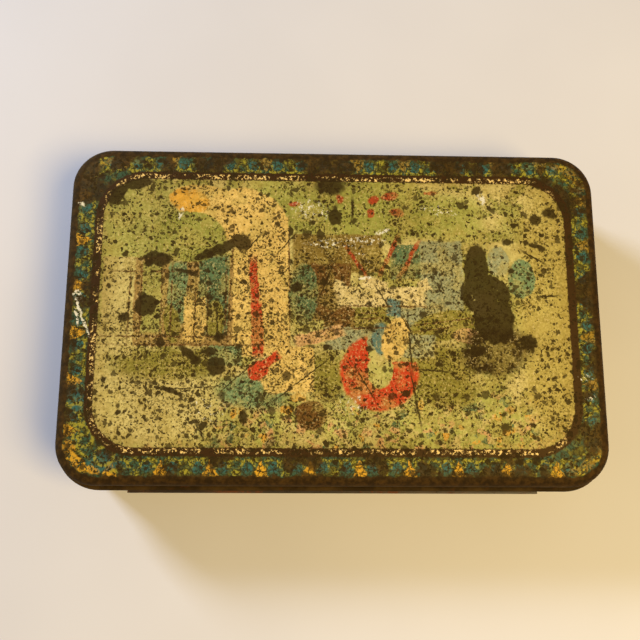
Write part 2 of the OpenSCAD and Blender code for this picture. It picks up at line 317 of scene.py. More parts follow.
# The picture's patches from back to front: shape, x, y, half sizes, turn in degrees, ink
PICTURE = [
    ("cloud", -78, 42, 26, 16, 0, "meadow"),
    ("cloud", -80, -42, 30, 18, 0, "cream"),
    ("cloud", 96, 0, 14, 60, 0, "straw"),
    ("cloud", 10, 46, 50, 13, 0, "leaf"),
    ("cloud", -36, -36, 15, 8, 0, "mint"),
    ("cloud", -74, -24, 24, 7, 0, "moss"),
    ("cloud", 46, -26, 16, 12, 0, "moss"),
    ("cloud", -4, -29, 8, 11, 0, "moss"),
    ("cloud", 50, -36, 13, 6, 0, "moss"),
    ("block", -73, 4, 29, 20, 0, "tan"),
    ("block", -96, 2, 7, 22, 0, "cream"),
    ("block", -81, 6, 4.5, 16, 0, "meadow"),
    ("block", -70, 8, 4, 14, 0, "mint"),
    ("block", -54, 7, 6.5, 18, 0, "teal"),
    ("block", -62, -4, 5, 10, 0, "sand"),
    ("blob", -72, -6, 3.5, 9, 10, "moss"),
    ("blob", -53, -4, 4, 9, 0, "moss"),
    ("blob", -58, 50, 17, 8, -8, "sand"),
    ("blob", -66, 51, 9, 5.5, -10, "orange"),
    ("blob", -38, 42, 18, 14, -30, "sand"),
    ("blob", -66, 34, 17, 12, 0, "leaf"),
    ("block", -33, 12, 12.6, 32, 1, "sand"),
    ("block", 1, 27, 20, 9, 0, "olive"),
    ("block", -2, 9, 9, 13, 0, "umber"),
    ("blob", -14, 8, 6.5, 14, 0, "teal"),
    ("block", 34, 23, 9, 8, 0, "teal"),
    ("block", 48, 16, 9.5, 17, 0, "sky"),
    ("block", 38, 0, 12, 7, 0, "sky"),
    ("block", 20.4, 6.8, 20, 4.7, 0, "bone"), ("blob", 17, 12, 6.5, 3, 0, "bone"),
    ("block", 40, 12, 2.6, 2.6, 24, "bone"), ("block", 1.6, 11.6, 2.4, 2.4, -20, "bone"),
    ("block", 3, -3, 8, 4.6, 0, "umber"),
    ("block", 16, -3, 7, 4.6, 0, "moss"),
    ("blob", 49, -6, 15, 6.5, 8, "moss"),
    ("block", 9, -12, 14, 5, 0, "sky"),
    ("blob", 20, -12, 3.6, 7, 0, "blue"),
    ("block", 36, -15, 8, 5, 0, "sky"),
    ("block", 26, 2, 3, 4, 0, "blue"),
    ("blob", 27, -12, 6, 10, -18, "sand"),
    ("blob", 59, -11, 6.6, 3.6, -8, "pink"),
    ("block", -7, -11, 11, 2.6, 14, "pink"),
    ("block", -48, -20, 7, 4.5, 0, "mint"),
    ("block", -19, -26, 9.5, 10, 0, "sand"),
    ("blob", -26, -30, 6, 7, 0, "sand"),
    ("blob", -10.5, -46, 7, 6.4, 0, "umber"),
    ("blob", 74, 24, 5, 7, 0, "sky"),
    ("blob", 84, 16, 6, 9, 0, "mint"),
    ("block", -35.8, 8, 1.7, 16, 3, "red"),
    ("block", -34.4, -8, 2.5, 12, 3, "red"),
    ("blob", -33.5, -26.5, 4.6, 4.6, 0, "red"),
    ("block", -29, -22.5, 5.2, 1.9, 34, "red"),
    ("block", 9.6, 22.6, 8, 0.8, -58, "brick"),
    ("block", 24.2, 26, 9.4, 0.9, 66, "brick"),
    ("block", 33.6, 24.4, 9, 0.9, 62, "brick"),
    ("blob", -18.6, 50.2, 2.6, 1.1, 0, "brick"),
    ("blob", 2, 52.6, 1.6, 2.2, 0, "brick"),
    ("blob", 17.6, 52.4, 2.6, 1.9, 20, "brick"),
    ("blob", 25, 54.4, 4, 1.9, 14, "brick"),
    ("blob", 16.4, 46.4, 1.8, 2.2, 0, "brick"),
    ("blob", 28, 46.8, 3, 2, -10, "brick"),
    ("blob", 44, 56.2, 3, 0.8, 3, "brick"),
    ("cloud", 72, -15, 15, 9, -8, "soot"),
    ("cloud", 68, -22, 13, 6, -6, "soot"),
]

# Thin drawn lines of the picture: x, y, half length, half width, turn
DRAWN = [
    (-72, -11.9, 30, 0.4, 0), (-66, -15.6, 34, 0.4, 0), (-91, 3, 15, 0.35, 90),
    (-86, 3, 15, 0.3, 90), (-77, 4, 17, 0.35, 90), (-72.5, 4, 16, 0.35, 90),
    (-62, 0, 12, 0.35, 90), (-56.5, 0, 12, 0.35, 90), (-48.5, 2, 15, 0.4, 90),
    (-84, 17.5, 14, 0.35, 0), (21, 2.6, 21, 0.45, 0), (10, -7.6, 14, 0.35, 2),
    (17, -0.6, 6.5, 0.3, 1), (17, -3, 6.5, 0.3, 1), (49, -4, 13, 0.3, 8),
    (49, -7, 14, 0.3, 8), (-46.5, 12, 27, 0.35, 88), (-20.5, 14, 26, 0.35, 91),
]

# Rusted blotches where the print is gone: shape, x, y, half sizes, turn
BLOTCHES = [
    ("blob", -83.5, 2, 4.9, 4.9, 0), ("blob", 0, 44, 3.2, 4, 0),
    ("blob", -17.2, 10.8, 2.6, 2.6, 0), ("blob", -20.2, 37, 1.1, 3, 0),
    ("blob", -93, -3.6, 2.9, 2.2, 20), ("blob", -93.8, 25.6, 1.5, 1.7, 0),
    ("blob", -51, -12, 2.3, 2.3, 0), ("blob", -39.6, -47, 1.9, 2.9, 0),
    ("blob", -79, 23.6, 6.4, 3.4, -6), ("blob", -51, 28.4, 13.5, 2.4, 24),
    ("blob", -42, 31.6, 4, 4.2, 40), ("blob", -66.5, 17.6, 6, 1.2, -16),
    ("blob", -64, -19.5, 5.6, 1.9, -42), ("blob", -52, -25, 4.2, 4.4, 30),
    ("blob", -55, -18.5, 3.2, 2, 0), ("blob", -71, -35.8, 6, 1.1, -18),
    ("blob", 63.6, 20, 5.6, 11.6, -3), ("blob", 67.6, 8, 11.4, 9.6, -14),
    ("blob", 71, -3, 9.2, 11, 8), ("blob", 86, -13.4, 3.8, 3.6, 0),
    ("cloud", -2, 58.5, 7, 4, 0),
    ("blob", 92, 44, 3, 2.6, 0), ("blob", 78, 33, 2.4, 1.6, 0),
    ("blob", 92, 31, 4.4, 1.3, -22), ("blob", -90, 58.6, 7, 2.8, 12),
    ("blob", -98.4, 53.6, 6, 3, 52), ("blob", 98.5, 47, 3.6, 2.4, -36),
    ("blob", 86, -49.5, 1.4, 1.4, 0), ("blob", 61, -17.4, 5, 1.8, 0),
]

# Scratches down to the rust: x, y, half length, half width, turn
SCRATCHES = [
    (33, -14, 13, 0.28, -86), (35, -38, 12, 0.28, -80), (-4, 14, 10, 0.25, 68),
    (-37, 31, 6, 0.28, 50), (-22, 31, 7, 0.25, 50), (21, 7, 6, 0.28, -58),
    (33, -8, 9, 0.25, -60), (13, -32, 9, 0.25, -60), (42, -26, 8, 0.3, -4),
    (-64, -34.5, 12, 0.22, 3), (-42, -29, 10, 0.22, 42), (-14, -30, 16, 0.22, 38),
    (90, 26, 6, 0.3, -30), (96, 8, 5, 0.35, 2), (-58, -53, 4, 0.3, -62),
    (-52, -5, 8, 0.25, 92), (8, 48, 5, 0.5, 90),
]

# Bright flaked spots: x, y, half sizes, turn, share of the spot that is flaked
FLAKED = [
    (-11, 47, 8.5, 4.5, -12, 0.62), (67.5, 53.5, 2, 2.6, 30, 0.52),
    (-69.5, 45, 1.1, 2.6, -20, 0.52), (6, 32, 18, 2.4, 4, 0.62), (22, 37.5, 3, 1, 18, 0.5),
    (48, 47.5, 8, 2, -8, 0.62), (12, 26, 8, 1.5, -50, 0.66), (-55, -44, 8, 5, 0, 0.68),
    (8, -41, 6, 4, 0, 0.64), (14, 15.6, 3, 0.8, 10, 0.5), (-85, -30, 30, 20, 0, 0.8),
    (-113.6, 7, 1.8, 2.2, 0, 0.56), (-112.8, 1, 4, 0.6, -66, 0.5),
    (-109.8, -6.6, 6, 0.6, -66, 0.5), (-113.4, -3.4, 4, 0.6, 100, 0.5),
    (-115, 48.6, 2, 0.8, -30, 0.5), (111, -29, 3, 2, 0, 0.62), (112, -38, 2.6, 1, 10, 0.6),
]

# Places on the border where the print is worn right off: x, y, half sizes
WORN_BORDER = [
    (-3, 67, 12, 8), (77, 67.5, 5.5, 5.5), (-76, 67.5, 3, 5), (-113, 66, 6, 7),
    (20, -67.5, 2.4, 5), (-20, -67, 2.4, 4), (66, 68, 3.4, 4),
]

MOTIF = 21.2
PANEL = {"half_w": 104.5, "half_d": 60.4, "radius": 18.5}
PANEL_SHIFT = (0.2, 0.5, 0)
BAND_FROM = 4.4
BAND_TO = 11.4
LINE_W = 3.7


class Print(Shader):
    """The lid's print, with the noise and the distances that its parts share."""

    def __init__(self):
        super().__init__("worn_print")
        self.bsdf.inputs["Specular IOR Level"].default_value = 0.25
        self.bsdf.inputs["Specular Tint"].default_value = (1.0, 0.82, 0.4, 1.0)
        middle = self.blob(self.flat, -14, -16, 86, 46, 0, 0.6)
        spared = self.blob(self.flat, 19, -27, 18, 18, 0, 0.3)
        self.busy = self.without(middle, spared)
        self.grain = self.noise(4.5, 4, 0.7, point=self.flat)
        self.fleck = self.noise(1.6, 4, 0.75, point=self.flat)
        self.coarse = self.noise(22, 3, 0.55, point=self.flat)
        self.fine = self.shifted(self.flat, 0.35, 1.8)
        self.torn = self.shifted(self.flat, 0.85, 3.2, 4.0)
        self.wavy = self.shifted(self.torn, 0.8, 9)
        self.edge_in = self.inside(self.fine, LID_HALF_W, LID_HALF_D, CORNER_R)
        self.panel_in = self.inside(self.vec("SUBTRACT", self.fine, PANEL_SHIFT), **PANEL)
        # Darker towards the picture's frame: partly grime, partly painted edge shade.
        self.edge_shade_and_grime = self.ramp(self.panel_in, 9.0, 0.0)


def lower_strip(s):
    """The dabs of colour along the front of the picture."""
    dabs = s.node("ShaderNodeTexVoronoi", {"Vector": s.flat, "Scale": 1 / 3.4}, out="Color")
    pick = s.node("ShaderNodeSeparateColor", {0: dabs})
    ink = s.mix(s.ramp(pick, 0.25, 0.35), INK["cream"], INK["meadow"])
    for low, high, name in ((0.62, 0.68, "pink"), (0.8, 0.84, "teal"), (0.92, 0.94, "orange")):
        ink = s.mix(s.ramp(pick, low, high), ink, INK[name])
    return ink


def picture(s):
    """The picture in the middle of the lid, before its wear."""
    wavy = s.shifted(s.fine, 0.7, 12)
    ink = s.mix(s.ramp(s.noise(38, 2, point=s.flat), 0.4, 0.6), INK["ground"], INK["cream"])
    ink = s.mix(s.ramp(s.noise(11, 4, point=s.flat), 0.5, 0.62), ink, INK["meadow"])
    at_front = s.ramp(s.axis(wavy, "Y"), -30, -44)
    mottle = lower_strip(s)
    ink = s.mix(s.both(at_front, s.ramp(s.grain, 0.42, 0.56)), ink, mottle)
    for shape, x, y, rx, ry, turn, name in PICTURE:
        mask = getattr(s, shape)(wavy, x, y, rx, ry, turn)
        ink = s.mix(mask, ink, INK[name])
    ink = s.mix(crescent(s, wavy), ink, INK["red"])
    faded = s.ramp(s.noise(13, 4, 0.6, point=s.flat), 0.48, 0.62)
    ink = s.mix(s.both(faded, 0.42), ink, INK["straw"])
    for x, y, half, width, turn in DRAWN:
        line = s.block(s.fine, x, y, half, width, turn, 0.6)
        ink = s.mix(s.both(line, s.ramp(s.grain, 0.38, 0.46)), ink, INK["line"])
    return ink


def crescent(s, wavy):
    """The open red ring: a disc less its middle and a gap at the back."""
    disc = s.blob(wavy, 19.3, -27, 17.2, 17, 0, 0.1)
    middle = s.blob(wavy, 20, -26, 5.6, 8.2)
    gap = s.block(wavy, 20, -14, 5.6, 7)
    cut = s.block(wavy, 33, -14, 8.6, 8)
    return s.without(s.without(s.without(disc, middle), gap), cut)


def motif_place(s, x, y):
    """A place within the border's repeated motif: away from its middle, and across the band."""
    from_side = s.math("SUBTRACT", LID_HALF_W, s.math("ABSOLUTE", x))
    from_end = s.math("SUBTRACT", LID_HALF_D, s.math("ABSOLUTE", y))
    on_long = s.math("LESS_THAN", from_end, from_side)
    along = s.math("ADD", s.both(x, on_long), s.without(y, on_long))
    share = s.math("FRACT", s.math("ADD", s.math("DIVIDE", along, MOTIF), 40.0))
    across = s.math("SUBTRACT", s.edge_in, (BAND_FROM + BAND_TO) / 2)
    half = s.math("ABSOLUTE", s.math("MULTIPLY", s.math("SUBTRACT", share, 0.5), MOTIF))
    return half, across


def border(s):
    """The blue-green band of scrolls and blossoms, repeated along each side."""
    x = s.axis(s.torn, "X")
    y = s.axis(s.torn, "Y")
    kept = s.ramp(s.math("ADD", x, s.math("MULTIPLY", y, 1.8)), 90, -60)
    half, across = motif_place(s, x, y)
    cell = s.join(half, across)
    patchy = s.noise(6, 4, 0.65, point=s.flat)
    ink = s.mix(s.ramp(patchy, 0.38, 0.54), BAND_WORN, BAND)
    bright = s.both(s.blob(cell, 5.3, 0.6, 3.2, 2.9), s.ramp(s.fleck, 0.44, 0.58))
    ink = s.mix(bright, ink, BAND_BRIGHT)
    arches = s.either(s.hoop(cell, 5.3, 0.3, 2.8, 0.9), s.hoop(cell, 9.9, 1.2, 2.0, 0.8))
    scroll = s.either(
        s.both(arches, s.ramp(across, -1.0, 0.4)),
        s.blob(cell, 2.6, 3.2, 1.6, 0.8, 30), s.blob(cell, 10.6, -2.4, 1.9, 1.6),
    )
    ink = s.mix(s.both(scroll, s.ramp(s.fleck, 0.42, 0.52)), ink, SCROLL)
    taper = s.math("ADD", half, s.math("MULTIPLY", across, 0.5))
    blossom = s.both(s.ramp(taper, 1.9, 1.3), s.ramp(across, -4.2, -3.6))
    blossom = s.both(s.both(blossom, s.ramp(s.fleck, 0.38, 0.5)),
                     s.math("ADD", s.math("MULTIPLY", kept, 0.6), 0.4))
    ink = s.mix(blossom, ink, BLOSSOM)
    leaves = s.node("ShaderNodeTexVoronoi", {"Vector": s.torn, "Scale": 1 / 2.3},
                    feature="DISTANCE_TO_EDGE", voronoi_dimensions="2D")
    return s.mix(s.both(s.ramp(leaves, 0.13, 0.05), 0.75), ink, OUTLINE)


def corner_scrolls(s, ink):
    """Scrolls and a blossom in each corner, brightest at the front left."""
    mirrored = s.vec("ABSOLUTE", s.fine)
    bright = s.blob(s.fine, -106, -58, 22, 24, 0, 0.6)
    worn = s.math("ADD", s.math("MULTIPLY", bright, 0.6), 0.3)
    blue = s.either(s.blob(mirrored, 111, 36, 4.4, 9), s.blob(mirrored, 98, 66, 7, 4))
    ink = s.mix(s.both(s.both(blue, s.ramp(s.fleck, 0.42, 0.56)), bright), ink, BAND_BRIGHT)
    scroll = s.either(
        s.hoop(mirrored, 110.5, 46, 4.6, 1.1), s.hoop(mirrored, 107.5, 55.5, 4.3, 1.1),
        s.hoop(mirrored, 98, 63.5, 4, 1.0), s.hoop(mirrored, 107, 53, 2, 0.7),
        s.blob(mirrored, 92, 69.5, 3.6, 1.2, 12),
    )
    ink = s.mix(s.both(s.both(scroll, s.ramp(s.fleck, 0.42, 0.54)), worn), ink, SCROLL)
    blossom = s.either(
        s.blob(mirrored, 113, 61, 2.9, 4.2, 10), s.blob(mirrored, 109, 66.5, 5.4, 2.4, -42),
        s.blob(mirrored, 103.5, 69.3, 4, 1.6, -18),
    )
    return s.mix(s.both(s.both(blossom, s.ramp(s.fleck, 0.42, 0.54)), worn), ink, BLOSSOM)


def pits(s):
    """Rust pits of three sizes, thickest in the lower middle of the lid, none on its edge."""
    crowd = s.ramp(s.noise(11, 3, 0.6, point=s.flat), 0.42, 0.6)
    crowd = s.math("ADD", s.both(crowd, 0.55), s.both(s.busy, 0.2))
    tiny = s.spots(1.35, 0.22, 0.54, s.math("ADD", crowd, 0.16), s.torn)
    small = s.spots(2.6, 0.4, 1.15, s.math("ADD", crowd, 0.2), s.torn)
    large = s.spots(7.2, 0.8, 2.0, s.math("ADD", crowd, 0.1), s.torn)
    return s.both(s.either(tiny, small, large), s.ramp(s.edge_in, 3.0, 6.0))


def any_of(s, masks):
    """The strongest of many masks, joined as they are made."""
    joined = None
    for mask in masks:
        joined = mask if joined is None else s.either(joined, mask)
    return joined


def aged(s, ink):
    """Print broken up by wear: dabs of tone, dark specks, cream flecks, and grime towards the
    picture's frame that is partly painted shade.
    """
    dabs = s.node("ShaderNodeTexVoronoi", {"Vector": s.flat, "Scale": 1 / 1.9}, out="Color")
    tone = s.node("ShaderNodeSeparateColor", {0: dabs})
    ink = s.mix(s.math("MULTIPLY", tone, 0.34), ink, (0.42, 0.40, 0.22, 1), blend="MULTIPLY")
    grit = s.noise(1.1, 4, 0.75, point=s.flat)
    clump = s.ramp(s.noise(12, 3, 0.6, point=s.flat), 0.42, 0.6)
    crowd = s.math("ADD", s.both(clump, 0.5), s.both(s.busy, 0.4), clamp=True)
    specks = s.both(s.ramp(grit, 0.46, 0.41), s.math("ADD", crowd, 0.1))
    ink = s.mix(specks, ink, INK["shade"])
    flecks = s.both(s.ramp(grit, 0.56, 0.62), s.ramp(s.grain, 0.36, 0.6))
    ink = s.mix(s.math("MULTIPLY", flecks, 0.6), ink, INK["bone"])
    ink = s.mix(s.math("MULTIPLY", s.ramp(s.fleck, 0.46, 0.36), 0.4), ink, INK["olive"])
    # Painted edge shade with grime: the picture is darkened brown within 9 mm of its frame.
    ink = s.mix(s.both(s.edge_shade_and_grime, 0.4), ink, (0.6, 0.5, 0.3, 1), blend="MULTIPLY")
    return s.mix(s.both(s.ramp(s.grain, 0.46, 0.64), 0.35), ink, (0.62, 0.56, 0.34, 1),
                 blend="MULTIPLY")


def worn_border(s, bare):
    """The border with its print rubbed away to bare brown tin, and the rim outside it."""
    ink = corner_scrolls(s, border(s))
    band_in = s.inside(s.torn, LID_HALF_W, LID_HALF_D, CORNER_R)
    colour = s.mix(s.ramp(band_in, BAND_FROM - 0.5, BAND_FROM + 0.4), bare, ink)
    wear = s.ramp(s.math("ADD", s.coarse, s.math("MULTIPLY", s.grain, 0.35)), 0.7, 0.78)
    wear = s.either(wear, any_of(s, (
        s.blob(s.wavy, x, y, rx, ry, 0, 0.4) for x, y, rx, ry in WORN_BORDER
    )))
    dirt = s.ramp(s.fleck, 0.47, 0.38)
    wear = s.either(s.math("MULTIPLY", wear, 0.9), s.math("MULTIPLY", dirt, 0.6))
    return s.mix(wear, colour, bare)


def framed(s, colour, scene_ink):
    """The picture set in the border, with a dark line round it that keeps some gold."""
    colour = s.mix(s.ramp(s.panel_in, -LINE_W - 0.4, -LINE_W + 0.3), colour, FRAME_LINE)
    flecks = s.ramp(s.noise(1.5, 3, 0.7, point=s.flat), 0.53, 0.56)
    at_line = s.both(s.ramp(s.panel_in, -2.8, -2.3), s.ramp(s.panel_in, -0.2, -0.7))
    left_over = s.ramp(s.noise(8, 3, 0.6, point=s.flat), 0.42, 0.54)
    left_over = s.both(left_over, s.ramp(s.axis(s.fine, "X"), 102, 98))
    colour = s.mix(s.ramp(s.panel_in, -0.3, 0.3), colour, scene_ink)
    return s.mix(s.both(s.both(flecks, at_line), left_over), colour, GOLD)


def blotches(s):
    """1 on the large rusted blotches."""
    blotch = any_of(s, (
        getattr(s, shape)(s.torn, x, y, rx, ry, turn) for shape, x, y, rx, ry, turn in BLOTCHES
    ))
    return s.both(blotch, s.ramp(s.grain, 0.2, 0.32))


def scratches(s):
    """1 on the scratches."""
    scratch = any_of(s, (
        s.block(s.fine, x, y, half, 1.3 * width, turn, 0.5)
        for x, y, half, width, turn in SCRATCHES
    ))
    return s.both(scratch, s.ramp(s.grain, 0.3, 0.42))


def flaked(s):
    """1 on the bright spots where the print has flaked off."""
    return any_of(s, (
        s.both(s.blob(s.torn, x, y, rx, ry, turn, 0.5), s.ramp(s.fleck, share - 0.05, share))
        for x, y, rx, ry, turn, share in FLAKED
    ))


def rusty_skirt(s):
    """The lid's skirt, where no print is left."""
    skirt = s.mix(s.ramp(s.noise(9, 5, 0.7), 0.36, 0.68), DARK_RIM, BARE)
    return s.mix(s.ramp(s.noise(3.2, 5, 0.75), 0.56, 0.74), skirt, rgb(88, 48, 20))


def printed_tin():
    """The lid's outside: picture, border and rim, all worn and pitted."""
    s = Print()
    scene_ink = aged(s, picture(s))
    rim_grain = s.noise(2.6, 4, 0.65)
    bare = s.mix(s.ramp(rim_grain, 0.38, 0.68), DARK_RIM, BARE)
    colour = framed(s, worn_border(s, bare), scene_ink)
    colour = s.mix(s.math("MULTIPLY", s.ramp(s.coarse, 0.35, 0.7), 0.35), colour,
                   (0.62, 0.55, 0.4, 1), blend="MULTIPLY")
    colour = s.mix(1.0, colour, VARNISH, blend="MULTIPLY")

    blotch = blotches(s)
    scratch = scratches(s)
    pit = pits(s)
    gone = s.mix(s.ramp(s.fleck, 0.38, 0.6), INK["soot"], RUST)
    colour = s.mix(s.math("MULTIPLY", blotch, 0.93), colour, gone)
    colour = s.mix(s.math("MULTIPLY", s.either(pit, scratch), 0.97), colour, gone)
    colour = s.mix(flaked(s), colour, INK["white"])
    skirt = rusty_skirt(s)
    top = s.ramp(s.axis(s.point, "Z"), LID_TOP - EDGE_R, LID_TOP - 1.0)
    s.set("Base Color", s.mix(top, skirt, colour))

    worn = s.either(pit, blotch, s.ramp(s.edge_in, 5, 4))
    rough = s.node("ShaderNodeMapRange", {"Value": worn, "To Min": 0.45, "To Max": 0.75})
    s.set("Roughness", s.math("ADD", rough, s.math("MULTIPLY", s.grain, 0.12)))
    s.bump((pit, -0.10), (s.fleck, 0.06), (rim_grain, 0.06))
    return s.material


# ---------- other materials ----------

def old_enamel(name, tint, stain, paint_marks=0.0):
    """Aged enamel: yellowed, chipped to rust, with washed-out paint marks."""
    s = Shader(name, roughness=0.35, coat=0.15)
    cloud = s.noise(26, 4, 0.6)
    fine = s.noise(3, 5, 0.7)
    colour = s.mix(s.ramp(cloud, 0.35, 0.7), tint, stain)
    marks = (rgb(70, 96, 132), rgb(158, 66, 48), rgb(176, 138, 52), rgb(74, 104, 66))
    for k, ink in enumerate(marks):
        drift = s.vec("ADD", s.point, (37.0 * k, 91.0 * k, 0))
        wash = s.ramp(s.noise(21, 4, 0.62, point=drift, warp=1.2), 0.58, 0.7)
        colour = s.mix(s.math("MULTIPLY", wash, paint_marks), colour, ink)
    chip = s.both(s.ramp(s.noise(6, 6, 0.72), 0.66, 0.69), s.ramp(cloud, 0.42, 0.5))
    colour = s.mix(chip, colour, RUST)
    speck = s.spots(4.5, 0.1, 0.4, 0.3)
    colour = s.mix(speck, colour, rgb(88, 58, 28))
    s.set("Base Color", colour)
    s.set("Roughness", s.math("ADD", s.math("MULTIPLY", chip, 0.4), 0.34))
    s.bump((chip, -0.08), (fine, 0.03), (s.noise(0.8, 3), 0.012))
    return s.material


def rusted_sheet(name, dark, light, rust, metal_share=0.0):
    """Lacquered or bare sheet steel gone brown, with rust bloom and fine scratches."""
    s = Shader(name, roughness=0.55, metallic=metal_share)
    cloud = s.noise(14, 5, 0.62)
    grain = s.noise(2.2, 5, 0.7)
    colour = s.mix(s.ramp(cloud, 0.36, 0.66), dark, light)
    streaks = s.noise(1.0, 3, 0.6, point=s.vec("MULTIPLY", s.point, (0.06, 0.06, 1.6)))
    colour = s.mix(s.math("MULTIPLY", s.ramp(streaks, 0.55, 0.7), 0.35), colour, light)
    bloom = s.ramp(s.math("ADD", s.math("MULTIPLY", cloud, 0.5),
                          s.math("MULTIPLY", grain, 0.5)), 0.52, 0.58)
    colour = s.mix(bloom, colour, rust)
    scuffs = s.ramp(s.noise(0.8, 3, 0.7), 0.54, 0.64)
    colour = s.mix(s.math("MULTIPLY", scuffs, 0.45), colour, light)
    speck = s.either(s.spots(3.4, 0.15, 0.7, 0.6), s.spots(1.5, 0.12, 0.4, 0.4))
    colour = s.mix(s.math("MULTIPLY", speck, 0.9), colour, RUST)
    s.set("Base Color", colour)
    worn = s.either(bloom, speck)
    s.set("Roughness", s.math("ADD", s.math("MULTIPLY", worn, 0.3), 0.46))
    s.bump((bloom, 0.05), (speck, 0.07), (grain, 0.05), (streaks, 0.015))
    return s.material


def paint_cake(name, tint):
    """A dry watercolour cake: matt, cracked, paler where it has dried."""
    s = Shader(name, roughness=0.8)
    dusty = s.noise(7, 5, 0.65)
    dark = tuple(0.45 * c for c in tint[:3]) + (1.0,)
    pale = tuple(min(1.0, 0.78 * c + 0.05) for c in tint[:3]) + (1.0,)
    colour = s.mix(s.ramp(dusty, 0.35, 0.7), dark, tint)
    colour = s.mix(s.math("MULTIPLY", s.ramp(s.noise(2.2, 5, 0.7), 0.58, 0.75), 0.6), colour, pale)
    crack_place = s.vec("MULTIPLY", s.shifted(s.point, 0.6, 5), (0.19,) * 3)
    crack = s.node("ShaderNodeTexVoronoi", {"Vector": crack_place, "Scale": 1.0},
                   feature="DISTANCE_TO_EDGE")
    line = s.both(s.ramp(crack, 0.035, 0.01), s.ramp(dusty, 0.48, 0.56))
    colour = s.mix(s.math("MULTIPLY", line, 0.7), colour, dark)
    s.set("Base Color", colour)
    s.set("Roughness", s.math("ADD", s.math("MULTIPLY", dusty, 0.3), 0.5))
    s.bump((line, -0.25), (s.noise(1.1, 4, 0.7), 0.10), (dusty, 0.12))
    return s.material


def lacquered_wood():
    """A red lacquered handle, chipped to the wood, with the grain along X."""
    s = Shader("red_lacquer", roughness=0.32, coat=0.5)
    grain = s.noise(1.4, 4, 0.6, point=s.vec("MULTIPLY", s.point, (0.05, 1, 1)))
    wood = s.mix(s.ramp(grain, 0.35, 0.65), rgb(150, 104, 56), rgb(196, 150, 92))
    lacquer = s.mix(s.ramp(s.noise(9, 4), 0.4, 0.7), rgb(120, 22, 14), rgb(150, 34, 20))
    chip = s.ramp(s.noise(5, 6, 0.75), 0.6, 0.63)
    s.set("Base Color", s.mix(chip, lacquer, wood))
    s.set("Roughness", s.math("ADD", s.math("MULTIPLY", chip, 0.4), 0.3))
    s.bump((chip, -0.06), (grain, 0.02))
    return s.material


def tarnished_brass():
    s = Shader("dull_brass", metallic=1.0)
    cloud = s.noise(4, 5, 0.65)
    colour = s.mix(s.ramp(cloud, 0.4, 0.66), rgb(196, 158, 88), rgb(104, 78, 42))
    s.set("Base Color", colour)
    s.set("Roughness", s.math("ADD", s.math("MULTIPLY", cloud, 0.35), 0.18))
    s.bump((cloud, 0.02), (s.noise(0.6, 3), 0.01))
    return s.material


def brush_hair():
    s = Shader("brown_hair", roughness=0.6)
    strand = s.noise(0.45, 3, 0.6, point=s.vec("MULTIPLY", s.point, (0.03, 1, 1)))
    s.set("Base Color", s.mix(s.ramp(strand, 0.35, 0.65), rgb(60, 34, 16), rgb(136, 88, 48)))
    s.bump((strand, 0.15))
    return s.material


def table_top():
    s = Shader("table_top", roughness=0.6)
    cloud = s.noise(180, 3)
    s.set("Base Color", s.mix(s.ramp(cloud, 0.3, 0.7), rgb(227, 222, 224), rgb(233, 228, 230)))
    s.bump((s.noise(1.2, 3), 0.02))
    return s.material


# ---------- shapes ----------

def rounded_outline(half_w, half_d, radius, long_steps, short_steps, corner_steps):
    """Points round the rectangle of the corner centres, each with its outward direction."""
    core_x, core_y = half_w - radius, half_d - radius
    corners = [(core_x, core_y), (-core_x, core_y), (-core_x, -core_y), (core_x, -core_y)]
    rim = []
    for k, corner in enumerate(corners):
        ahead = Vector(corners[(k + 1) % 4])
        start = Vector(corner)
        for j in range(corner_steps + 1):
            angle = math.radians(90 * (k + j / corner_steps))
            rim.append((start, Vector((math.cos(angle), math.sin(angle)))))
        steps = long_steps if k % 2 == 0 else short_steps
        facing = rim[-1][1]
        for j in range(1, steps):
            rim.append((start.lerp(ahead, j / steps), facing))
    return rim


def arc(x, z, radius, start, end, steps):
    """Profile points on an arc, from one angle to another in degrees."""
    turns = [math.radians(start + (end - start) * j / steps) for j in range(steps + 1)]
    return [(x + radius * math.cos(t), z + radius * math.sin(t)) for t in turns]


def add_sweep(bm, rim, profile, slots, closed=True):
    """Sweeps profile points round rim. slots gives the material of the strip after each."""
    rings = [
        [bm.verts.new((base.x + out * way.x, base.y + out * way.y, z)) for base, way in rim]
        for out, z in profile
    ]
    pairs = list(zip(rings, rings[1:] + rings[:1]))
    if not closed:
        pairs = pairs[:-1]
    for (low, high), slot in zip(pairs, slots):
        for j in range(len(rim)):
            k = (j + 1) % len(rim)
            bm.faces.new((low[j], low[k], high[k], high[j])).material_index = slot


def add_plate(bm, core_x, core_y, z, long_steps, short_steps, slot):
    """A flat grid that fills the rectangle of the corner centres."""
    rows = [
        [bm.verts.new((core_x * (2 * i / long_steps - 1), core_y * (2 * j / short_steps - 1), z))
         for i in range(long_steps + 1)]
        for j in range(short_steps + 1)
    ]
    for low, high in zip(rows, rows[1:]):
        for i in range(long_steps):
            face = bm.faces.new((low[i], low[i + 1], high[i + 1], high[i]))
            face.material_index = slot


def finished(bm, name, materials, smooth_angle=40):
    """Joins coincident points, scales to metres and makes the object."""
    bmesh.ops.remove_doubles(bm, verts=bm.verts, dist=0.002)
    bmesh.ops.dissolve_degenerate(bm, edges=bm.edges, dist=0.0005)
    bmesh.ops.recalc_face_normals(bm, faces=bm.faces)
    bmesh.ops.scale(bm, vec=(MM,) * 3, verts=bm.verts)
    for face in bm.faces:
        face.smooth = True
    limit = math.radians(smooth_angle)
    for edge in bm.edges:
        edge.smooth = len(edge.link_faces) == 2 and edge.calc_face_angle(0) < limit
    mesh = bpy.data.meshes.new(name)
    bm.to_mesh(mesh)
    bm.free()
    for material in materials:
        mesh.materials.append(material)
    piece = bpy.data.objects.new(name, mesh)
    bpy.context.collection.objects.link(piece)
    return piece


